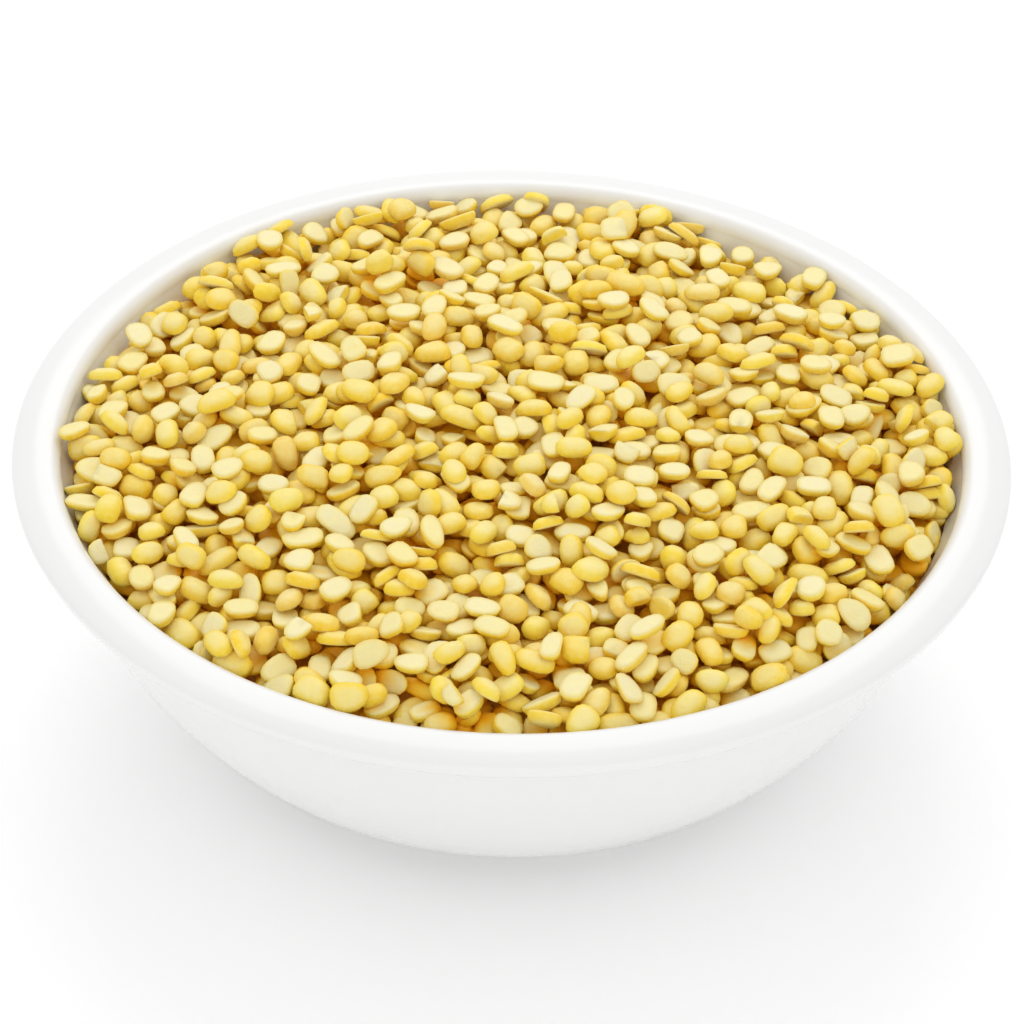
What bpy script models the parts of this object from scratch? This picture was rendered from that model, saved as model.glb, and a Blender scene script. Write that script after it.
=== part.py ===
"""A round white bowl heaped with dry split lentils, at real size, in metres, +Z up.

The origin is the middle of the circle on which the bowl stands. The bowl is one turned
wall with a thick rolled lip and a low foot ring. The lentils are one solid: a domed core
that fills the bowl, with a bump of a lentil's size for each lentil of its top layer, and
half lentils that lie proud of the heap, fused on.
"""

import math
import random

import bmesh
import bpy
from mathutils import Euler, Matrix, Vector
from mathutils.geometry import delaunay_2d_cdt

MM = 0.001

# The bowl's outside.
LIP_RADIUS = 62.5 * MM
LIP_CREST_RADIUS = 58.0 * MM
LIP_DROP = 1.4 * MM
LIP_EDGE_ROUNDING = 2.4 * MM
LIP_UNDERCUT = 0.3 * MM
BOWL_HEIGHT = 40.7 * MM
BODY_TOP_RADIUS = 57.9 * MM
BODY_TOP_Z = BOWL_HEIGHT - LIP_DROP - LIP_EDGE_ROUNDING - LIP_UNDERCUT
BODY_FOOT_RADIUS = 34.8 * MM
BODY_FOOT_Z = 3.2 * MM
BODY_ROUNDNESS = 1.41
BOWL_STEPS = 56

# The bowl's foot and inside.
FOOT_RADIUS = 33.0 * MM
FOOT_STEP = 0.4 * MM
FOOT_WIDTH = 3.2 * MM
FOOT_RECESS = 1.0 * MM
WALL = 3.0 * MM
FLOOR_Z = 5.0 * MM
LIP_INSIDE_RADIUS = 56.3 * MM
LIP_INSIDE_DROP = 2.1 * MM
INSIDE_POINTS = 6

# The heap of lentils.
CLEARANCE = 0.3 * MM
HEAP_EDGE_DROP = 2.2 * MM
HEAP_RISE = 6.0 * MM
HEAP_FULLNESS = 1.15
TOP_LENTILS = 450
PLACES_INSET = 1.6 * MM
OUTER_PLACES = 80
OUTER_PLACES_OFFSET = 1.1 * MM
EDGE_MARGIN = 1.0 * MM
EDGE_DIP = 0.4 * MM
LENTIL_LENGTH = 4.6 * MM
LENTIL_WIDTH = 3.6 * MM
LENTIL_THICKNESS = 1.9 * MM
SHOULDER_WIDTH = 0.72
SHOULDER_HEIGHT = 0.66
TOP_SHARE = 0.8
LENTIL_SLOPE = 0.3
LENTIL_LIFT = 0.35 * MM
LENTIL_STRAY = 0.22
ROUND_SHARE = 0.5
ROUND_RISE = 0.5 * MM
GAP_DEPTH = 1.2 * MM
LOOSE_EVERY = 12
LOOSE_TILT_DEGREES = 22.0
LOOSE_LIFT = 0.25
CUT_UP_SHARE = 0.45
GOLDEN_ANGLE = math.pi * (3.0 - math.sqrt(5.0))
SEED = 3

PORCELAIN = (0.86, 0.86, 0.85, 1.0)
PORCELAIN_ROUGHNESS = 0.25
LENTIL_YELLOW = (0.86, 0.66, 0.24, 1.0)
LENTIL_ROUGHNESS = 0.5


def clear_scene():
    """Removes whatever the scene holds."""
    for obj in list(bpy.data.objects):
        bpy.data.objects.remove(obj, do_unlink=True)


def new_collection(name):
    """A collection linked to the scene."""
    collection = bpy.data.collections.new(name)
    bpy.context.scene.collection.children.link(collection)
    return collection


def new_material(name, colour, roughness):
    """A Principled material with one colour and roughness."""
    material = bpy.data.materials.new(name)
    material.use_nodes = True
    shader = material.node_tree.nodes["Principled BSDF"]
    shader.inputs["Base Color"].default_value = colour
    shader.inputs["Roughness"].default_value = roughness
    shader.inputs["Metallic"].default_value = 0.0
    return material


def new_object(name, mesh, collection, material):
    """An object for the mesh, in the collection, with the material."""
    obj = bpy.data.objects.new(name, mesh)
    obj.data.materials.append(material)
    collection.objects.link(obj)
    return obj


def apply_modifiers(obj):
    """Gives the object the mesh that its modifiers make, and drops them."""
    bpy.context.view_layer.update()
    graph = bpy.context.evaluated_depsgraph_get()
    finished = bpy.data.meshes.new_from_object(obj.evaluated_get(graph))
    obj.modifiers.clear()
    obj.data = finished


def arc(centre, radii, start_degrees, end_degrees, count):
    """Points (r, z) on an elliptical arc, both ends included."""
    points = []
    for i in range(count):
        angle = math.radians(start_degrees + (end_degrees - start_degrees) * i / (count - 1))
        r = centre[0] + radii[0] * math.cos(angle)
        z = centre[1] + radii[1] * math.sin(angle)
        points.append((r, z))
    return points


def bowl_curve(foot, top, count):
    """Points (r, z) from the top of a bowl's side down to its foot, on a superellipse."""
    power = 2.0 / BODY_ROUNDNESS
    points = []
    for i in range(count):
        angle = math.pi / 2 * i / (count - 1)
        r = foot[0] + (top[0] - foot[0]) * max(0.0, math.cos(angle)) ** power
        z = top[1] - (top[1] - foot[1]) * math.sin(angle) ** power
        points.append((r, z))
    return points


def inner_wall(shrink, count):
    """Points (r, z) of the bowl's inside, from under the lip to the floor, drawn in by shrink."""
    top = (BODY_TOP_RADIUS - WALL - shrink, BODY_TOP_Z)
    foot = (BODY_FOOT_RADIUS - WALL, FLOOR_Z + shrink)
    return bowl_curve(foot, top, count)


def bowl_profile():
    """The bowl's half section, from the middle of its floor over the lip to the middle below."""
    inside = [(0.0, FLOOR_Z)] + inner_wall(0.0, INSIDE_POINTS)[::-1]
    lip_inside = arc(
        (LIP_CREST_RADIUS, BOWL_HEIGHT - LIP_INSIDE_DROP),
        (LIP_CREST_RADIUS - LIP_INSIDE_RADIUS, LIP_INSIDE_DROP),
        180,
        90,
        4,
    )
    lip_outside = arc(
        (LIP_CREST_RADIUS, BOWL_HEIGHT - LIP_DROP),
        (LIP_RADIUS - LIP_CREST_RADIUS, LIP_DROP),
        90,
        0,
        5,
    )
    lip_edge = arc(
        (LIP_RADIUS - LIP_EDGE_ROUNDING, BOWL_HEIGHT - LIP_DROP),
        (LIP_EDGE_ROUNDING, LIP_EDGE_ROUNDING),
        0,
        -90,
        3,
    )
    body = bowl_curve((BODY_FOOT_RADIUS, BODY_FOOT_Z), (BODY_TOP_RADIUS, BODY_TOP_Z), 7)
    foot = [
        (FOOT_RADIUS, BODY_FOOT_Z - FOOT_STEP),
        (FOOT_RADIUS, 0.0),
        (FOOT_RADIUS - FOOT_WIDTH, 0.0),
        (FOOT_RADIUS - FOOT_WIDTH, FOOT_RECESS),
        (0.0, FOOT_RECESS),
    ]
    return inside + lip_inside + lip_outside[1:] + lip_edge[1:] + body + foot


def make_bowl(collection, material):
    """The bowl: its half section turned about Z by a Screw modifier."""
    mesh = bpy.data.meshes.new("bowl")
    points = [(r, 0.0, z) for r, z in bowl_profile()]
    edges = [(i, i + 1) for i in range(len(points) - 1)]
    mesh.from_pydata(points, edges, [])
    bowl = new_object("bowl", mesh, collection, material)
    screw = bowl.modifiers.new("turned", "SCREW")
    screw.axis = "Z"
    screw.steps = BOWL_STEPS
    screw.render_steps = BOWL_STEPS
    screw.use_merge_vertices = True
    screw.merge_threshold = 0.00001
    screw.use_smooth_shade = True
    return bowl


def heap_edge():
    """Radius and height of the circle where the lentils meet the bowl, clear of its wall."""
    z = BOWL_HEIGHT - HEAP_EDGE_DROP
    wall_top = (BODY_TOP_RADIUS - WALL, BODY_TOP_Z)
    lip_inside = (LIP_INSIDE_RADIUS, BOWL_HEIGHT - LIP_INSIDE_DROP)
    share = (z - wall_top[1]) / (lip_inside[1] - wall_top[1])
    return wall_top[0] + (lip_inside[0] - wall_top[0]) * share - CLEARANCE, z


def dome_height(x, y):
    """Height of the smooth heap at a point: a low dome, level in the middle."""
    edge_radius, edge_z = heap_edge()
    share = min(1.0, math.hypot(x, y) / edge_radius)
    return edge_z + HEAP_RISE * (1.0 - share * share) ** HEAP_FULLNESS


def dome_slope(x, y):
    """Rise of the smooth heap per metre along X and along Y, at a point."""
    step = 0.5 * MM
    along_x = (dome_height(x + step, y) - dome_height(x - step, y)) / (2 * step)
    along_y = (dome_height(x, y + step) - dome_height(x, y - step)) / (2 * step)
    return along_x, along_y


def lentil_places(draw):
    """Points spread evenly over the heap on a sunflower spiral, each a little astray."""
    reach = heap_edge()[0] - PLACES_INSET
    spacing = reach * math.sqrt(math.pi / TOP_LENTILS)
    places = []
    for i in range(TOP_LENTILS):
        radius = reach * math.sqrt((i + 0.5) / TOP_LENTILS)
        angle = i * GOLDEN_ANGLE
        x = radius * math.cos(angle) + spacing * draw.uniform(-LENTIL_STRAY, LENTIL_STRAY)
        y = radius * math.sin(angle) + spacing * draw.uniform(-LENTIL_STRAY, LENTIL_STRAY)
        places.append(Vector((x, y)))
    return places


def add_cells(shape, places):
    """The heap's top as flat cells, one round each lentil, that meet along the gaps."""
    edge_radius, edge_z = heap_edge()
    outer_radius = edge_radius + OUTER_PLACES_OFFSET
    outer = []
    for i in range(OUTER_PLACES):
        angle = 2 * math.pi * i / OUTER_PLACES
        outer.append(Vector((outer_radius * math.cos(angle), outer_radius * math.sin(angle))))
    points, _, triangles, *_ = delaunay_2d_cdt(places + outer, [], [], 0, 1e-7)
    around = [[] for _ in points]
    for number, triangle in enumerate(triangles):
        for corner in triangle:
            around[corner].append(number)
    middles = [sum((points[corner] for corner in t), Vector((0, 0))) / 3 for t in triangles]
    corners = [shape.verts.new((m.x, m.y, 0.0)) for m in middles]
    for place, ring in zip(places, around):
        ring.sort(key=lambda number: math.atan2(*(middles[number] - place)))
        shape.faces.new([corners[number] for number in reversed(ring)])
    spare = [vert for vert in shape.verts if not vert.link_faces]
    bmesh.ops.delete(shape, geom=spare, context="VERTS")
    lone = [vert for vert in shape.verts if len(vert.link_faces) == 1]
    bmesh.ops.dissolve_verts(shape, verts=lone)
    for vert in shape.verts:
        outward = vert.co.xy.normalized()
        if vert.is_boundary:
            outward *= edge_radius
            vert.co = (outward.x, outward.y, edge_z)
        else:
            outward *= min(vert.co.xy.length, edge_radius - EDGE_MARGIN)
            depth = GAP_DEPTH * min(1.0, (edge_radius - outward.length) / LENTIL_LENGTH)
            vert.co = (outward.x, outward.y, dome_height(outward.x, outward.y) - depth)


def raise_lentil(shape, face, draw):
    """Makes a cell's top a half lentil: narrower one way, leaning, with a cut or a round face."""
    centre = face.calc_center_median()
    narrow = Vector((1.0, 0.0)) @ Matrix.Rotation(draw.uniform(0, math.pi), 2)
    rise_x, rise_y = dome_slope(centre.x, centre.y)
    rise_x += draw.uniform(-LENTIL_SLOPE, LENTIL_SLOPE)
    rise_y += draw.uniform(-LENTIL_SLOPE, LENTIL_SLOPE)
    level = dome_height(centre.x, centre.y) + draw.uniform(-LENTIL_LIFT, LENTIL_LIFT)
    lowest = heap_edge()[1] - EDGE_DIP
    for vert in face.verts:
        offset = (vert.co - centre).xy * TOP_SHARE
        offset -= narrow * offset.dot(narrow) * (1.0 - LENTIL_WIDTH / LENTIL_LENGTH)
        z = max(lowest, level + offset.x * rise_x + offset.y * rise_y)
        vert.co = (centre.x + offset.x, centre.y + offset.y, z)
    if draw.random() < ROUND_SHARE:
        poked = bmesh.ops.poke(shape, faces=[face])
        poked["verts"][0].co.z = level + ROUND_RISE


def add_underside(shape):
    """The heap's side and bottom: its edge drawn down in rings along the bowl's inside."""
    rim = [edge for edge in shape.edges if edge.is_boundary]
    for radius, z in inner_wall(CLEARANCE, INSIDE_POINTS):
        made = bmesh.ops.extrude_edge_only(shape, edges=rim)["geom"]
        rim = [item for item in made if isinstance(item, bmesh.types.BMEdge)]
        for vert in {vert for edge in rim for vert in edge.verts}:
            outward = vert.co.xy.normalized() * radius
            vert.co = (outward.x, outward.y, z)
    bmesh.ops.contextual_create(shape, geom=rim)


def make_core(collection, material, places, draw):
    """The core of the heap: cells drawn up into lentils, and a plain underside."""
    shape = bmesh.new()
    add_cells(shape, places)
    tops = shape.faces[:]
    bmesh.ops.inset_individual(shape, faces=tops, thickness=0.0)
    for face in tops:
        raise_lentil(shape, face, draw)
    add_underside(shape)
    bmesh.ops.recalc_face_normals(shape, faces=shape.faces[:])
    mesh = bpy.data.meshes.new("lentil_heap")
    shape.to_mesh(mesh)
    shape.free()
    return new_object("lentil_heap", mesh, collection, material)


def half_lentil_mesh():
    """A split lentil lying on its flat face: eight sides, a shoulder ring and a domed back."""
    shape = bmesh.new()
    bmesh.ops.create_uvsphere(shape, u_segments=8, v_segments=3, radius=1.0)
    for vert in shape.verts:
        across = math.hypot(vert.co.x, vert.co.y)
        if across > 0.01:
            spread = (1.0 if vert.co.z < 0 else SHOULDER_WIDTH) / across
            height = 0.0 if vert.co.z < 0 else SHOULDER_HEIGHT
        else:
            spread = 0.0
            height = 0.0 if vert.co.z < 0 else 1.0
        vert.co.x *= spread * LENTIL_LENGTH / 2
        vert.co.y *= spread * LENTIL_WIDTH / 2
        vert.co.z = height * LENTIL_THICKNESS
    mesh = bpy.data.meshes.new("half_lentil")
    shape.to_mesh(mesh)
    shape.free()
    return mesh


def add_loose_lentils(collection, material, places, draw):
    """Half lentils lying on the heap, evenly spread, each turned and tilted its own way."""
    mesh = half_lentil_mesh()
    half = Vector((0.0, 0.0, LENTIL_THICKNESS / 2))
    reach = heap_edge()[0] - LENTIL_LENGTH
    for x, y in places[::LOOSE_EVERY]:
        if math.hypot(x, y) > reach:
            continue
        lentil = new_object("loose_lentil", mesh, collection, material)
        lean_x = math.radians(draw.uniform(-LOOSE_TILT_DEGREES, LOOSE_TILT_DEGREES))
        lean_y = math.radians(draw.uniform(-LOOSE_TILT_DEGREES, LOOSE_TILT_DEGREES))
        turn = Euler((lean_x, lean_y, draw.uniform(0, 2 * math.pi))).to_matrix()
        if draw.random() < CUT_UP_SHARE:
            turn = turn @ Matrix.Rotation(math.pi, 3, "X")
        rise_x, rise_y = dome_slope(x, y)
        ground = Vector((-rise_x, -rise_y, 1.0)).to_track_quat("Z", "Y").to_matrix()
        rotation = ground @ turn
        centre = Vector((x, y, dome_height(x, y) + LENTIL_THICKNESS * LOOSE_LIFT))
        place = Matrix.Translation(centre - rotation @ half)
        lentil.matrix_world = place @ rotation.to_4x4()


def fuse(target, collection):
    """Joins every object of the collection to the target, then removes them."""
    union = target.modifiers.new("fused", "BOOLEAN")
    union.operation = "UNION"
    union.operand_type = "COLLECTION"
    union.collection = collection
    union.solver = "EXACT"
    apply_modifiers(target)
    for obj in list(collection.objects):
        bpy.data.objects.remove(obj, do_unlink=True)
    bpy.data.collections.remove(collection)


def make_heap(collection, material):
    """The heap of lentils as one solid."""
    draw = random.Random(SEED)
    places = lentil_places(draw)
    heap = make_core(collection, material, places, draw)
    loose = new_collection("loose_lentils")
    add_loose_lentils(loose, material, places, draw)
    fuse(heap, loose)
    return heap


def main():
    """Builds the dish and its lentils."""
    clear_scene()
    dish = new_collection("dish_of_dry_lentils")
    make_bowl(dish, new_material("white_porcelain", PORCELAIN, PORCELAIN_ROUGHNESS))
    make_heap(dish, new_material("split_lentils", LENTIL_YELLOW, LENTIL_ROUGHNESS))


main()
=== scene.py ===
"""A white glazed bowl heaped with dry split lentils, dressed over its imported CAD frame.

The bowl is one turned surface. The heap is a turned core with about two thousand lentils
dropped on it one by one: each comes to rest on the heights of those already lying there,
leaning as they lean, until the heap has filled up to its dome.
"""

import bpy
import numpy as np
from mathutils import Matrix, Vector


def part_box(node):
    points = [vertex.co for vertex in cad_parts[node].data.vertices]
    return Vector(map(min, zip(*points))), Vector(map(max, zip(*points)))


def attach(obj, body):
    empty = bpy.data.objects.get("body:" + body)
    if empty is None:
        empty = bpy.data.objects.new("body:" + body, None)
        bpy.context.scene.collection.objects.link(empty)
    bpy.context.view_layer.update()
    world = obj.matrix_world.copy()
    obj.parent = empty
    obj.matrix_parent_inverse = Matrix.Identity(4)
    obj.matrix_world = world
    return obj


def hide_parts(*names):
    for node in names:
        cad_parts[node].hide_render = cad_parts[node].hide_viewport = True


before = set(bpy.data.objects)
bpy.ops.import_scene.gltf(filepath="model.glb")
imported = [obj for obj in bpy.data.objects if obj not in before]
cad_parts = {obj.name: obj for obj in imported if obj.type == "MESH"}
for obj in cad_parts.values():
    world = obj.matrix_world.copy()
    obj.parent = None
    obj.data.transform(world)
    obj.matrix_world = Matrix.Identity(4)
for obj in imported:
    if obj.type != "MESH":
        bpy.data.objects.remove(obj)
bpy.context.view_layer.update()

MM = 0.001
rng = np.random.default_rng(30)

# The bowl. Its radius and height are the frame's own.
bowl_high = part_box("bowl")[1]
LIP_RADIUS = bowl_high.x
BOWL_HEIGHT = bowl_high.z
CREST_RADIUS = LIP_RADIUS - 4.5 * MM
LIP_DROP = 1.4 * MM
LIP_EDGE_ROUNDING = 2.4 * MM
LIP_UNDERCUT = 0.3 * MM
LIP_FILLET = 0.8 * MM
LIP_INSIDE_RADIUS = 56.3 * MM
LIP_INSIDE_DROP = 2.1 * MM
BODY_TOP_RADIUS = 57.9 * MM
BODY_TOP_Z = BOWL_HEIGHT - LIP_DROP - LIP_EDGE_ROUNDING - LIP_UNDERCUT
BODY_FOOT_RADIUS = 34.8 * MM
BODY_FOOT_Z = 3.2 * MM
BODY_ROUNDNESS = 1.41
WALL = 3.0 * MM
FLOOR_Z = 5.0 * MM
FOOT_RADIUS = 33.0 * MM
FOOT_WIDTH = 3.2 * MM
FOOT_ROUNDING = 0.8 * MM
FOOT_NECK = 1.2 * MM
FOOT_RECESS = 1.0 * MM
RECESS_SLOPE = 0.5 * MM
BOWL_STEPS = 224
BODY_RINGS = 48
WALL_RINGS = 28

# The heap: a dome over its edge, and a core that lies under the dome by its depth.
EDGE_RADIUS = 56.2 * MM
EDGE_Z = BOWL_HEIGHT - 2.2 * MM
DOME_RISE = 6.0 * MM
DOME_POWER = 1.15
CORE_DEPTH = 4.2 * MM
CLEARANCE = 0.3 * MM
CORE_STEPS = 96
CORE_RINGS = 60
CORE_WALL_RINGS = 24

# The lentils: mean sizes, and shares of them by which the sizes and outlines vary.
LENTILS_AT_MOST = 3600
LENGTH = 4.2 * MM
WIDTH = 3.1 * MM
THICKNESS = 1.45 * MM
LENGTH_SPREAD = 0.14
WIDTH_SPREAD = 0.1
THICKNESS_SPREAD = 0.1
LENGTH_LIMITS = (0.7, 1.35)
WIDTH_LIMITS = (0.75, 1.25)
THICKNESS_LIMITS = (0.7, 1.3)
SQUARENESS = (2.0, 3.2)
TAPER_SPREAD = 0.1
BEND_SPREAD = 0.07
WAVE_AT_MOST = 0.055
BROKEN_SHARE = 0.07
BROKEN_AT = (-0.1, 0.6)
UNBROKEN = 2.0
WHOLE_SHARE = 0.05
MIDDLE = 0.4
SIDES = 16
TONE_BETA = (2.0, 1.6)
WARMTH_POWER = 6

# Rings from the flat face to the back: share of the outline, of the thickness, and of the paleness: the
# split face's own pale colour, and a painted highlight on the crown of the back.
HALF_RINGS = np.array(
    [(0.66, 0.0, 1.0), (0.955, 0.03, 0.6), (1.0, 0.23, 0.0), (0.88, 0.68, 0.12), (0.5, 0.96, 0.6)]
)
# On whole lentils the paleness at both crowns is painted highlight only.
WHOLE_RINGS = np.array(
    [(0.45, -0.72, 0.4), (0.84, -0.4, 0.1), (1.0, 0.16, 0.0), (0.84, 0.66, 0.1), (0.45, 0.96, 0.4)]
)

# How they fall: on a grid of heights, until it lies no more than FILL_UNDER below the dome.
CELL = 0.3 * MM
FINE_SIDES = 30
FINE_RINGS = 16
REACH = 56.8 * MM
FILL_UNDER = 2.0 * MM
PLACES = 60
TRIES = 24
WANDER = 1.0 * MM
PROBES = 12
PROBE_RADIUS = 1.5 * MM
STEEPEST = 1.0
LEAN_SPREAD = 0.2
STEEP_SPREAD = 1.2
STEEP_SHARE = 0.07
FACE_UP_SHARE = 0.5
SNUG = 0.15 * MM

# How deep a point of a lentil lies under the smoothed heights, for the painted shade in its colour.
SHADE_REACH = 1.2 * MM
SHADE_DEPTH = 2.6 * MM

# The finishes: colours are linear red, green, blue and alpha, noises are waves in a metre.
GLAZE_DULL = (0.8, 0.8, 0.793, 1.0)
GLAZE_BRIGHT = (0.83, 0.83, 0.825, 1.0)
GLAZE_CLOUDS = 35.0
GLAZE_WAVES = 220.0
BACK_TONES = [
    (0.0, (0.92, 0.585, 0.012, 1.0)),
    (0.45, (0.93, 0.665, 0.025, 1.0)),
    (1.0, (0.93, 0.73, 0.07, 1.0)),
]
BACK_WARM = (0.84, 0.55, 0.14, 1.0)
FACE_YELLOW = (0.86, 0.745, 0.31, 1.0)
FACE_PALE = (0.86, 0.78, 0.47, 1.0)
SCUFF_COLOUR = (0.93, 0.83, 0.33, 1.0)
# Painted shade: deeper points of the lentils are painted golden, and the deepest amber, as in the gaps of
# the heap.
PAINTED_SHADE_GOLD = (0.97, 0.67, 0.03, 1.0)
PAINTED_SHADE_AMBER = (0.96, 0.5, 0.01, 1.0)
SKIN_BLOTCHES = 900.0
SKIN_SCUFFS = 1100.0
SKIN_GRAIN = 2600.0
# The core's colours are painted shade: darker and redder than the lentils, as the gaps deep in the heap
# look.
CORE_DARK = (0.78, 0.3, 0.008, 1.0)
CORE_LIGHT = (0.92, 0.46, 0.014, 1.0)
CORE_MOTTLE = 420.0
FLOOR_DULL = (0.94, 0.94, 0.94, 1.0)
FLOOR_BRIGHT = (0.96, 0.96, 0.96, 1.0)
FLOOR_MOTTLE = 3.0
FLOOR_GLOW = 0.07

# The floor and the light, in metres and watts.
FLOOR_HALF = 3.0
ROOM_STRENGTH = 0.95
LAMP_AIM = Vector((0.0, 0.0, 0.04))
LAMP_SIZE = 0.35
TOP_LAMP = Vector((0.0, 0.3, 0.4))
TOP_POWER = 0.54
FRONT_LAMP = Vector((0.03, -0.6, 0.2))
FRONT_POWER = 0.25

# The view of the photo: distances from the rim's radius, angles in radians, the lens in mm.
VIEW_ELEVATION = 0.654
VIEW_ROLL = 0.0192
VIEW_DISTANCE = 9.735 * LIP_RADIUS
VIEW_TARGET = Vector((0.0025, 0.0, 0.463)) * LIP_RADIUS
LENS = 168.8
SENSOR = 36.0
NEAREST_SEEN = 0.01


class Socket:
    """A node's output, on which Python's operators add Math nodes."""

    def __init__(self, finish, output):
        self.finish = finish
        self.output = output

    def maths(self, operation, first, second):
        return self.finish.add("ShaderNodeMath", {"operation": operation}, {0: first, 1: second})

    def __add__(self, other):
        return self.maths("ADD", self, other)

    def __radd__(self, other):
        return self.maths("ADD", other, self)

    def __sub__(self, other):
        return self.maths("SUBTRACT", self, other)

    def __rsub__(self, other):
        return self.maths("SUBTRACT", other, self)

    def __mul__(self, other):
        return self.maths("MULTIPLY", self, other)

    def __rmul__(self, other):
        return self.maths("MULTIPLY", other, self)


class Finish:
    """A material and the one way in which nodes are added to it."""

    def __init__(self, name, **constants):
        self.material = bpy.data.materials.new(name)
        self.material.use_nodes = True
        self.nodes = self.material.node_tree.nodes
        self.links = self.material.node_tree.links
        self.shader = self.nodes["Principled BSDF"]
        for socket, value in constants.items():
            self.shader.inputs[socket.replace("_", " ")].default_value = value

    def add(self, kind, settings, inputs, output=0):
        node = self.nodes.new(kind)
        for name, value in settings.items():
            if name == "stops":
                self.set_stops(node.color_ramp, value)
            else:
                setattr(node, name, value)
        for name, value in inputs.items():
            self.feed(node.inputs[name], value)
        return Socket(self, node.outputs[output])

    def feed(self, target, value):
        if isinstance(value, Socket):
            self.links.new(value.output, target)
        else:
            target.default_value = value

    def set_stops(self, ramp, stops):
        while len(ramp.elements) < len(stops):
            ramp.elements.new(0.5)
        for element, (position, colour) in zip(ramp.elements, stops):
            element.position = position
            element.color = colour

    def place(self):
        return self.add("ShaderNodeTexCoord", {}, {}, "Object")

    def noise(self, scale, detail=2.0):
        inputs = {"Vector": self.place(), "Scale": scale, "Detail": detail}
        return self.add("ShaderNodeTexNoise", {}, inputs)

    def attribute(self, name):
        return self.add("ShaderNodeAttribute", {"attribute_name": name}, {}, "Fac")

    def ramp(self, factor, stops):
        return self.add("ShaderNodeValToRGB", {"stops": stops}, {"Fac": factor})

    def mix(self, factor, first, second):
        settings = {"data_type": "RGBA"}
        inputs = {0: factor, 6: first, 7: second}
        return self.add("ShaderNodeMix", settings, inputs, 2)

    def bump(self, height, strength, distance):
        inputs = {"Height": height, "Strength": strength, "Distance": distance}
        return self.add("ShaderNodeBump", {}, inputs)

    def drive(self, **sockets):
        for name, value in sockets.items():
            self.feed(self.shader.inputs[name.replace("_", " ")], value)
        return self.material


def new_piece(name, points, faces, finish):
    """A smooth mesh object at the origin, with the finish."""
    mesh = bpy.data.meshes.new(name)
    mesh.from_pydata(points, [], faces)
    mesh.polygons.foreach_set("use_smooth", np.ones(len(mesh.polygons), bool))
    mesh.materials.append(finish)
    piece = bpy.data.objects.new(name, mesh)
    bpy.context.scene.collection.objects.link(piece)
    return piece


def arc(centre, radii, start, end, count):
    """Points (r, z): the centre plus the radii times cosine and sine, from start to end degrees."""
    angle = np.radians(np.linspace(start, end, count))
    return np.column_stack((centre[0] + radii[0] * np.cos(angle), centre[1] + radii[1] * np.sin(angle)))


def bowl_curve(foot, top, count):
    """Points (r, z) down a bowl's side: a superellipse, its cosine and sine to one power."""
    angle = np.linspace(0.0, np.pi / 2, count)
    power = 2.0 / BODY_ROUNDNESS
    r = foot[0] + (top[0] - foot[0]) * np.maximum(np.cos(angle), 0.0) ** power
    z = top[1] - (top[1] - foot[1]) * np.sin(angle) ** power
    return np.column_stack((r, z))


def inner_wall(shrink, count):
    """Points (r, z) of the bowl's inside from under the lip to its floor, drawn in by shrink."""
    top = (BODY_TOP_RADIUS - WALL - shrink, BODY_TOP_Z)
    foot = (BODY_FOOT_RADIUS - WALL, FLOOR_Z + shrink)
    return bowl_curve(foot, top, count)


def bowl_inside():
    """Points (r, z) of the bowl's inside, from the edge of its floor up to the crest of the lip."""
    roll = (CREST_RADIUS - LIP_INSIDE_RADIUS, LIP_INSIDE_DROP)
    lip = arc((CREST_RADIUS, BOWL_HEIGHT - LIP_INSIDE_DROP), roll, 180, 90, 12)
    return np.vstack((inner_wall(0.0, WALL_RINGS)[::-1], lip))


def wall_radius(height):
    """The radius of the bowl's inside at each height."""
    inside = bowl_inside()
    return np.interp(height, inside[:, 1], inside[:, 0])


def bowl_profile():
    """The bowl's half section, from the middle of its floor over the lip to the middle below."""
    outside = (LIP_RADIUS - CREST_RADIUS, LIP_DROP)
    edge_in = LIP_RADIUS - LIP_EDGE_ROUNDING
    fillet = (LIP_FILLET, LIP_UNDERCUT)
    foot_in = FOOT_RADIUS - FOOT_WIDTH
    ground = (FOOT_ROUNDING, FOOT_ROUNDING)
    return np.vstack(
        (
            [(0.0, FLOOR_Z)],
            bowl_inside(),
            arc((CREST_RADIUS, BOWL_HEIGHT - LIP_DROP), outside, 90, 0, 16)[1:],
            arc((edge_in, BOWL_HEIGHT - LIP_DROP), (LIP_EDGE_ROUNDING, LIP_EDGE_ROUNDING), 0, -90, 8)[1:],
            arc((BODY_TOP_RADIUS + LIP_FILLET, BODY_TOP_Z), fillet, 90, 180, 5),
            bowl_curve((BODY_FOOT_RADIUS, BODY_FOOT_Z), (BODY_TOP_RADIUS, BODY_TOP_Z), BODY_RINGS)[1:],
            arc((FOOT_RADIUS + FOOT_ROUNDING, BODY_FOOT_Z - FOOT_NECK), ground, 90, 180, 4),
            arc((FOOT_RADIUS - FOOT_ROUNDING, FOOT_ROUNDING), ground, 0, -90, 5),
            arc((foot_in + FOOT_ROUNDING, FOOT_ROUNDING), ground, -90, -180, 5),
            [(foot_in - RECESS_SLOPE, FOOT_RECESS), (0.0, FOOT_RECESS)],
        )
    )


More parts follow.
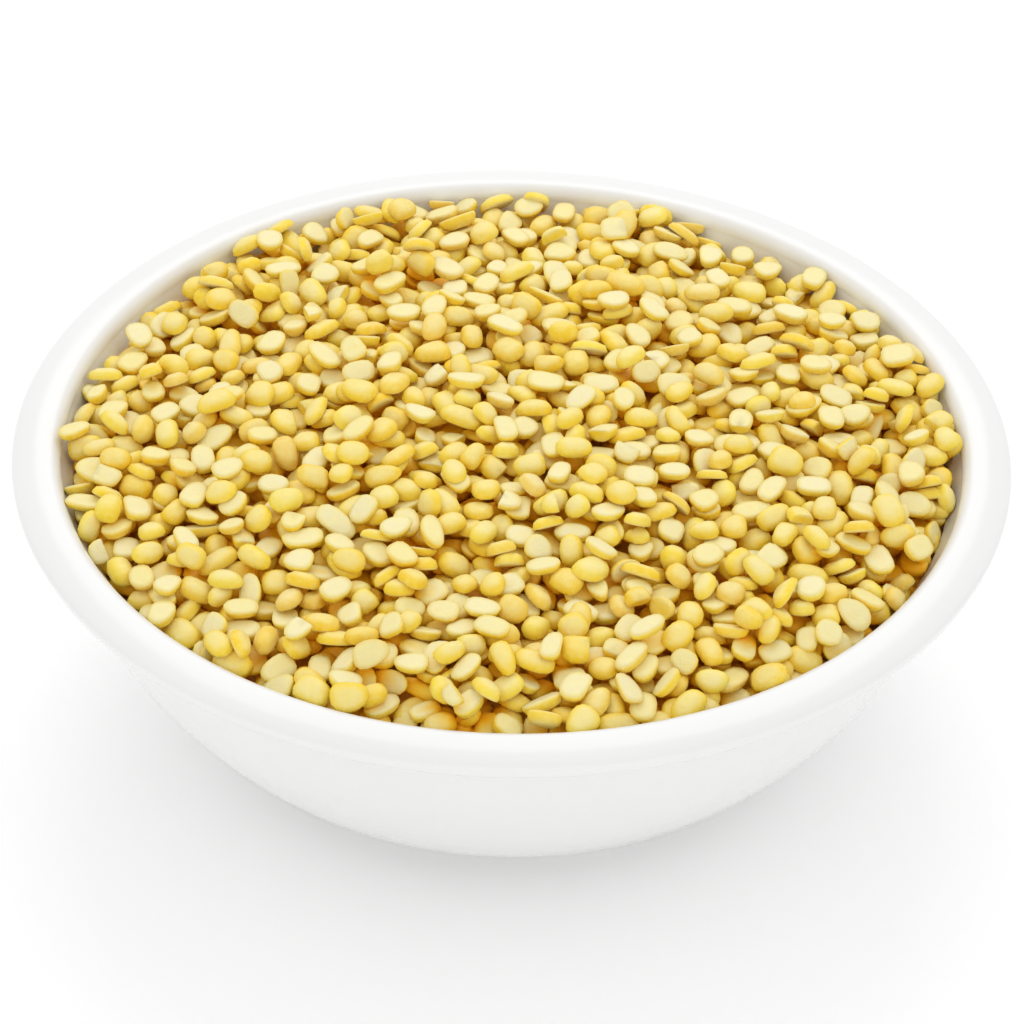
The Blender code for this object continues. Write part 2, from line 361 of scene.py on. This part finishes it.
def turned_piece(name, profile, steps, finish):
    """A closed turned surface: every profile point but the two on the axis carried round a circle."""
    angle = np.arange(steps) * 2 * np.pi / steps
    ring = profile[1:-1]
    x = np.outer(ring[:, 0], np.cos(angle))
    y = np.outer(ring[:, 0], np.sin(angle))
    z = np.repeat(ring[:, 1:], steps, axis=1)
    wall = np.stack((x, y, z), axis=2).reshape(-1, 3)
    ends = np.array([(0.0, 0.0, profile[0, 1]), (0.0, 0.0, profile[-1, 1])])
    row, column = np.mgrid[0 : len(ring) - 1, 0:steps]
    here = row * steps + column
    after = row * steps + (column + 1) % steps
    quads = np.stack((here, after, after + steps, here + steps), axis=2).reshape(-1, 4)
    first = np.arange(steps)
    last = first + (len(ring) - 1) * steps
    cap_in = np.column_stack((np.full(steps, len(wall)), (first + 1) % steps, first))
    next_last = (first + 1) % steps + (len(ring) - 1) * steps
    cap_out = np.column_stack((np.full(steps, len(wall) + 1), last, next_last))
    faces = quads[:, ::-1].tolist() + cap_in[:, ::-1].tolist() + cap_out[:, ::-1].tolist()
    return new_piece(name, np.vstack((wall, ends)), faces, finish)


def dome_height(radius):
    """The heap's mean height at a radius: its edge, plus the rise times a power of 1 - share squared."""
    share = np.minimum(1.0, radius / EDGE_RADIUS)
    return EDGE_Z + DOME_RISE * (1.0 - share**2) ** DOME_POWER


def core_profile():
    """The core's half section: under the dome by its depth, then down inside the bowl's wall."""
    radius = np.linspace(0.0, EDGE_RADIUS - CLEARANCE, CORE_RINGS)
    top = np.column_stack((radius, dome_height(radius) - CORE_DEPTH))
    side = inner_wall(CLEARANCE, CORE_WALL_RINGS)
    side = side[side[:, 1] < top[-1, 1] - MM]
    top[-1, 0] = min(top[-1, 0], side[0, 0] + CLEARANCE)
    below = [(0.0, FLOOR_Z + CLEARANCE)]
    return np.vstack((top, side, below))


def draw_shapes(count):
    """Sizes and outlines of the lentils, one value of each for every lentil, in random draws."""
    return {
        "length": LENGTH * rng.normal(1.0, LENGTH_SPREAD, count).clip(*LENGTH_LIMITS),
        "width": WIDTH * rng.normal(1.0, WIDTH_SPREAD, count).clip(*WIDTH_LIMITS),
        "thickness": THICKNESS * rng.normal(1.0, THICKNESS_SPREAD, count).clip(*THICKNESS_LIMITS),
        "square": rng.uniform(*SQUARENESS, count),
        "taper": rng.normal(0.0, TAPER_SPREAD, count),
        "bend": rng.normal(0.0, BEND_SPREAD, count),
        "wave": rng.uniform(0.0, WAVE_AT_MOST, count),
        "phase": rng.uniform(0.0, 2 * np.pi, count),
        "snap": np.where(rng.random(count) < BROKEN_SHARE, rng.uniform(*BROKEN_AT, count), UNBROKEN),
        "whole": rng.random(count) < WHOLE_SHARE,
    }


def lentil_points(shapes, half_rings, whole_rings, sides):
    """Points by lentil, ring and side.

    The outline is a superellipse: at each angle its cosine and sine are divided by the root
    of the sum of their powers. It is waved a little, scaled by the ring's share, widened
    towards one end by the taper, bowed by the bend and clipped where the lentil is broken.
    Its height is the ring's level less the middle's, times the thickness.
    """
    each = {name: values[:, None, None] for name, values in shapes.items()}
    angle = (np.arange(sides) * 2 * np.pi / sides)[None, None, :]
    share, level = (
        np.where(each["whole"], whole_rings[None, :, column, None], half_rings[None, :, column, None])
        for column in (0, 1)
    )
    power = each["square"]
    reach = (np.abs(np.cos(angle)) ** power + np.abs(np.sin(angle)) ** power) ** (-1.0 / power)
    reach = reach * (1.0 + each["wave"] * np.cos(3 * angle + each["phase"]))
    along = reach * np.cos(angle) * share
    across = reach * np.sin(angle) * share * (1.0 + each["taper"] * along)
    across = across + each["bend"] * along**2
    along = np.minimum(along, each["snap"])
    x = along * each["length"] / 2
    y = across * each["width"] / 2
    z = (level - MIDDLE) * each["thickness"] + np.zeros_like(x)
    return np.stack((x, y, z), axis=3)


def finer(rings):
    """The rings closed to a middle point at both ends, with more rings drawn in between."""
    closed = np.vstack((rings[0] * (0.0, 1.0, 1.0), rings, rings[-1] * (0.0, 1.0, 1.0)))
    along = np.linspace(0, len(closed) - 1, FINE_RINGS)
    return np.column_stack([np.interp(along, np.arange(len(closed)), column) for column in closed.T])


def bases(normal, yaw, flipped):
    """Turns whose third axis is the normal, or its opposite where flipped, with the yaw about it."""
    along = np.stack((np.cos(yaw), np.sin(yaw), np.zeros_like(yaw)), axis=1)
    along -= normal * (along * normal).sum(1, keepdims=True)
    along /= np.linalg.norm(along, axis=1, keepdims=True)
    sign = np.where(flipped, -1.0, 1.0)[:, None]
    third = normal * sign
    return np.stack((along, np.cross(third, along), third), axis=2)


class Ground:
    """Heights on a square grid: the core's top at first, then that of the lentils on it."""

    def __init__(self):
        self.half = int(LIP_RADIUS / CELL) + 2
        steps = (np.arange(2 * self.half + 1) - self.half) * CELL
        radius = np.hypot(*np.meshgrid(steps, steps, indexing="ij"))
        self.heights = dome_height(radius) - CORE_DEPTH
        self.full = dome_height(radius) - FILL_UNDER

    def cells(self, points):
        """The cells of the grid in which the points lie."""
        return tuple(np.rint(points[..., axis] / CELL).astype(int) + self.half for axis in (0, 1))

    def lowest_place(self):
        """Of a few places drawn at random, the one that lacks most to be full, and its lack."""
        radius = (REACH - MM) * np.sqrt(rng.random(PLACES))
        angle = rng.uniform(0, 2 * np.pi, PLACES)
        places = np.column_stack((radius * np.cos(angle), radius * np.sin(angle)))
        cells = self.cells(places)
        lack = self.full[cells] - self.heights[cells]
        return places[np.argmax(lack)], lack.max()

    def slopes(self, places):
        """The slope along x and y at each place, fitted to the heights on a circle about it."""
        angle = np.arange(PROBES) * 2 * np.pi / PROBES
        probe = PROBE_RADIUS * np.column_stack((np.cos(angle), np.sin(angle)))
        around = self.heights[self.cells(places[:, None] + probe)]
        return (around @ probe * 2 / (PROBES * PROBE_RADIUS**2)).clip(-STEEPEST, STEEPEST)

    def lift(self, points):
        """The highest step that any point of each set needs to clear the heights below it."""
        return (self.heights[self.cells(points)] - points[..., 2]).max(1)

    def cover(self, points):
        """Raises the heights to the points."""
        np.maximum.at(self.heights, self.cells(points), points[:, 2])

    def smooth(self):
        """Averages the heights over the shade's reach, along one axis and then the other."""
        reach = int(round(SHADE_REACH / CELL))
        for axis in (0, 1):
            moved = [np.roll(self.heights, step, axis) for step in range(-reach, reach + 1)]
            self.heights = np.mean(moved, axis=0)

    def depth(self, points):
        """How far points lie under the heights, as a share of the shade's depth."""
        return ((self.heights[self.cells(points)] - points[:, 2]) / SHADE_DEPTH).clip(0.0, 1.0)


def leans(slope):
    """A turn for each slope: lying along it, more or less, with the cut face down or up."""
    count = len(slope)
    spread = STEEP_SPREAD if rng.random() < STEEP_SHARE else LEAN_SPREAD
    normal = np.column_stack((-slope, np.ones(count))) + rng.normal(0, spread, (count, 3))
    normal[:, 2] = np.abs(normal[:, 2])
    normal /= np.linalg.norm(normal, axis=1, keepdims=True)
    return bases(normal, rng.uniform(0, 2 * np.pi, count), rng.random(count) < FACE_UP_SHARE)


def drop_lentils(shapes, ground):
    """Lets lentils fall one by one until the ground is full. Returns their centres and turns.

    Each falls where the ground lacks most. There it tries several leans, resting on the
    heights below it, takes the one that leaves its top lowest and sinks in by SNUG.
    """
    clouds = lentil_points(shapes, finer(HALF_RINGS), finer(WHOLE_RINGS), FINE_SIDES)
    clouds = clouds.reshape(len(clouds), -1, 3)
    centres = []
    turns = []
    for cloud in clouds:
        place, lack = ground.lowest_place()
        if lack < 0:
            break
        places = place + rng.normal(0, WANDER, (TRIES, 2))
        turn = leans(ground.slopes(places))
        points = np.einsum("kij,pj->kpi", turn, cloud)
        over = np.linalg.norm(points[..., :2] + places[:, None], axis=2).max(1) - REACH
        places *= np.minimum(1.0, 1.0 - over / np.linalg.norm(places, axis=1))[:, None]
        points[..., :2] += places[:, None]
        lift = ground.lift(points)
        best = np.argmin(lift + points[..., 2].max(1))
        height = lift[best] - SNUG
        ground.cover(points[best] + (0.0, 0.0, height))
        centres.append((*places[best], height))
        turns.append(turn[best])
    return inside_wall(clouds, np.array(centres), np.array(turns)), np.array(turns)


def inside_wall(clouds, centres, turns):
    """The centres, each drawn in by as much as its lentil would reach into the bowl's wall."""
    points = np.einsum("nij,npj->npi", turns, clouds[: len(centres)]) + centres[:, None]
    over = (np.hypot(points[..., 0], points[..., 1]) - wall_radius(points[..., 2])).max(1).clip(0.0)
    centres[:, :2] *= (1.0 - over / np.hypot(centres[:, 0], centres[:, 1]))[:, None]
    return centres


def lentil_piece(name, shapes, centres, turns, ground, finish):
    """One mesh of many lentils: each ring joined to the next, and both ends closed by one face."""
    points = lentil_points(shapes, HALF_RINGS, WHOLE_RINGS, SIDES)
    count, rings, sides, _ = points.shape
    placed = np.einsum("nij,nrsj->nrsi", turns, points) + centres[:, None, None, :]
    placed = placed.reshape(-1, 3)
    ring, side = np.mgrid[0 : rings - 1, 0:sides]
    here = ring * sides + side
    after = ring * sides + (side + 1) % sides
    quads = np.stack((here, after, after + sides, here + sides), axis=2).reshape(-1, 4)
    ends = np.stack((np.arange(sides)[::-1], np.arange(sides) + (rings - 1) * sides))
    first = (np.arange(count) * rings * sides)[:, None, None]
    faces = (quads[None] + first).reshape(-1, 4).tolist() + (ends[None] + first).reshape(-1, sides).tolist()
    piece = new_piece(name, placed, faces, finish)
    # The paleness is the split face's own colour, and a painted highlight on the crown of each back and at
    # both crowns of whole lentils.
    cut = np.where(shapes["whole"][:, None], WHOLE_RINGS[:, 2], HALF_RINGS[:, 2])
    add_values(piece, "cut", np.repeat(cut.ravel(), sides))
    add_values(piece, "tone", np.repeat(shapes["tone"], rings * sides))
    add_values(piece, "warmth", np.repeat(shapes["warmth"], rings * sides))
    # How deep each point lies under the smoothed heights, for the painted shade in the gaps.
    add_values(piece, "depth", ground.depth(placed))
    return piece


def add_values(piece, name, values):
    """A named value at every vertex, for the finish to read."""
    attribute = piece.data.attributes.new(name, "FLOAT", "POINT")
    attribute.data.foreach_set("value", values.astype(np.float32))


def glaze():
    """White glaze: nearly even, with the faint orange-peel waves that fired glaze has."""
    finish = Finish("white_glaze", IOR=1.5, Specular_IOR_Level=0.5)
    cloud = finish.noise(GLAZE_CLOUDS, 3.0)
    colour = finish.mix(cloud, GLAZE_DULL, GLAZE_BRIGHT)
    waves = finish.noise(GLAZE_WAVES, 1.0)
    return finish.drive(
        Base_Color=colour,
        Roughness=0.14 + 0.1 * cloud,
        Normal=finish.bump(waves, 0.12, 0.0004),
    )


def lentil_skin():
    """Hulled lentils: yellow backs with a painted highlight on their crowns, paler split faces with a
    yellow rim, and painted golden shade down in the gaps.
    """
    finish = Finish("split_lentils", IOR=1.45, Specular_IOR_Level=0.35)
    tone = finish.attribute("tone")
    warmth = finish.attribute("warmth")
    back = finish.mix(warmth * 0.6, finish.ramp(tone, BACK_TONES), BACK_WARM)
    face = finish.mix(tone, FACE_YELLOW, FACE_PALE)
    blotch = finish.noise(SKIN_BLOTCHES)
    # Paleness: the split face's own colour, plus a painted highlight on the crowns of the backs.
    cut = finish.attribute("cut") * (0.7 + 0.6 * blotch)
    colour = finish.mix(cut, back, face)
    scuff = finish.noise(SKIN_SCUFFS)
    colour = finish.mix(1.1 * scuff - 0.47, colour, SCUFF_COLOUR)
    # Painted shade: points deeper under the smoothed heights are painted golden, and the deepest amber.
    depth = finish.attribute("depth")
    colour = finish.mix(depth, colour, PAINTED_SHADE_GOLD)
    colour = finish.mix(depth * depth * depth, colour, PAINTED_SHADE_AMBER)
    grain = finish.noise(SKIN_GRAIN, 3.0)
    return finish.drive(
        Base_Color=colour,
        Roughness=0.38 + 0.22 * blotch,
        Normal=finish.bump(0.4 * grain + blotch, 0.35, 0.0003),
    )


def painted_shade_core():
    """The core under the lentils, seen only through gaps: painted shade, darker and redder than the
    lentils, as the gaps deep in the heap look.
    """
    finish = Finish("painted_shade_core")
    mottle = finish.noise(CORE_MOTTLE, 3.0)
    colour = finish.mix(mottle, CORE_DARK, CORE_LIGHT)
    return finish.drive(
        Base_Color=colour, Roughness=0.6 + 0.1 * mottle, Normal=finish.bump(mottle, 1.0, 0.001)
    )


def pale_floor():
    """A plain pale floor, faintly lit from below as a light table is."""
    finish = Finish("pale_floor", Emission_Strength=FLOOR_GLOW)
    mottle = finish.noise(FLOOR_MOTTLE)
    colour = finish.mix(mottle, FLOOR_DULL, FLOOR_BRIGHT)
    return finish.drive(Base_Color=colour, Roughness=0.7 + 0.1 * mottle)


def build_bowl():
    """The bowl, in place of its CAD solid."""
    bowl = turned_piece("glazed_bowl", bowl_profile(), BOWL_STEPS, glaze())
    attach(bowl, "root")
    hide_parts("bowl")


def build_heap():
    """The core and the lentils on it, in place of the CAD heap."""
    pieces = [turned_piece("heap_core", core_profile(), CORE_STEPS, painted_shade_core())]
    shapes = draw_shapes(LENTILS_AT_MOST)
    ground = Ground()
    centres, turns = drop_lentils(shapes, ground)
    ground.smooth()
    shapes["tone"] = rng.beta(*TONE_BETA, LENTILS_AT_MOST)
    shapes["warmth"] = rng.random(LENTILS_AT_MOST) ** WARMTH_POWER
    shapes = {name: values[: len(centres)] for name, values in shapes.items()}
    broken = shapes["snap"] < 1.0
    slender = shapes["width"] / shapes["length"] < WIDTH / LENGTH
    kinds = {
        "whole_lentils": shapes["whole"],
        "broken_lentils": broken & ~shapes["whole"],
        "slender_halves": slender & ~broken & ~shapes["whole"],
        "broad_halves": ~slender & ~broken & ~shapes["whole"],
    }
    skin = lentil_skin()
    for name, chosen in kinds.items():
        some = {measure: values[chosen] for measure, values in shapes.items()}
        pieces.append(lentil_piece(name, some, centres[chosen], turns[chosen], ground, skin))
    for piece in pieces:
        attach(piece, "root")
        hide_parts("lentil_heap")


def build_stage():
    """The floor on which the bowl stands."""
    far = FLOOR_HALF
    corners = [(-far, -far, 0.0), (far, -far, 0.0), (far, far, 0.0), (-far, far, 0.0)]
    floor = new_piece("floor", corners, [(0, 1, 2, 3)], pale_floor())


def add_lamp(name, place, power):
    """A square area lamp at a place, turned to the heap."""
    lamp = bpy.data.lights.new(name, "AREA")
    lamp.size = LAMP_SIZE
    lamp.energy = power
    holder = bpy.data.objects.new(name, lamp)
    holder.location = place
    holder.rotation_euler = (LAMP_AIM - place).to_track_quat("-Z", "Y").to_euler()
    bpy.context.scene.collection.objects.link(holder)


def build_light():
    """A white room, a broad lamp behind and above, and a low soft one in front of the bowl."""
    world = bpy.data.worlds.new("studio")
    world.use_nodes = True
    room = world.node_tree.nodes["Background"]
    room.inputs["Color"].default_value = (1.0, 1.0, 1.0, 1.0)
    room.inputs["Strength"].default_value = ROOM_STRENGTH
    bpy.context.scene.world = world
    add_lamp("top_lamp", TOP_LAMP, TOP_POWER)
    add_lamp("front_lamp", FRONT_LAMP, FRONT_POWER)
    bpy.context.scene.view_settings.view_transform = "Standard"


def build_camera():
    """The photo's camera: it looks down on the heap, turned a little about its own axis."""
    forward = Vector((0.0, np.cos(VIEW_ELEVATION), -np.sin(VIEW_ELEVATION)))
    right = Vector((1.0, 0.0, 0.0))
    up = right.cross(forward)
    across = right * np.cos(VIEW_ROLL) + up * np.sin(VIEW_ROLL)
    upward = up * np.cos(VIEW_ROLL) - right * np.sin(VIEW_ROLL)
    data = bpy.data.cameras.new("photo_view")
    data.lens = LENS
    data.sensor_width = SENSOR
    data.clip_start = NEAREST_SEEN
    camera = bpy.data.objects.new("photo_view", data)
    turn = Matrix((across, upward, -forward)).transposed()
    camera.matrix_world = Matrix.Translation(VIEW_TARGET - forward * VIEW_DISTANCE) @ turn.to_4x4()
    bpy.context.scene.collection.objects.link(camera)
    bpy.context.scene.camera = camera


build_bowl()
build_heap()
build_stage()
build_light()
build_camera()
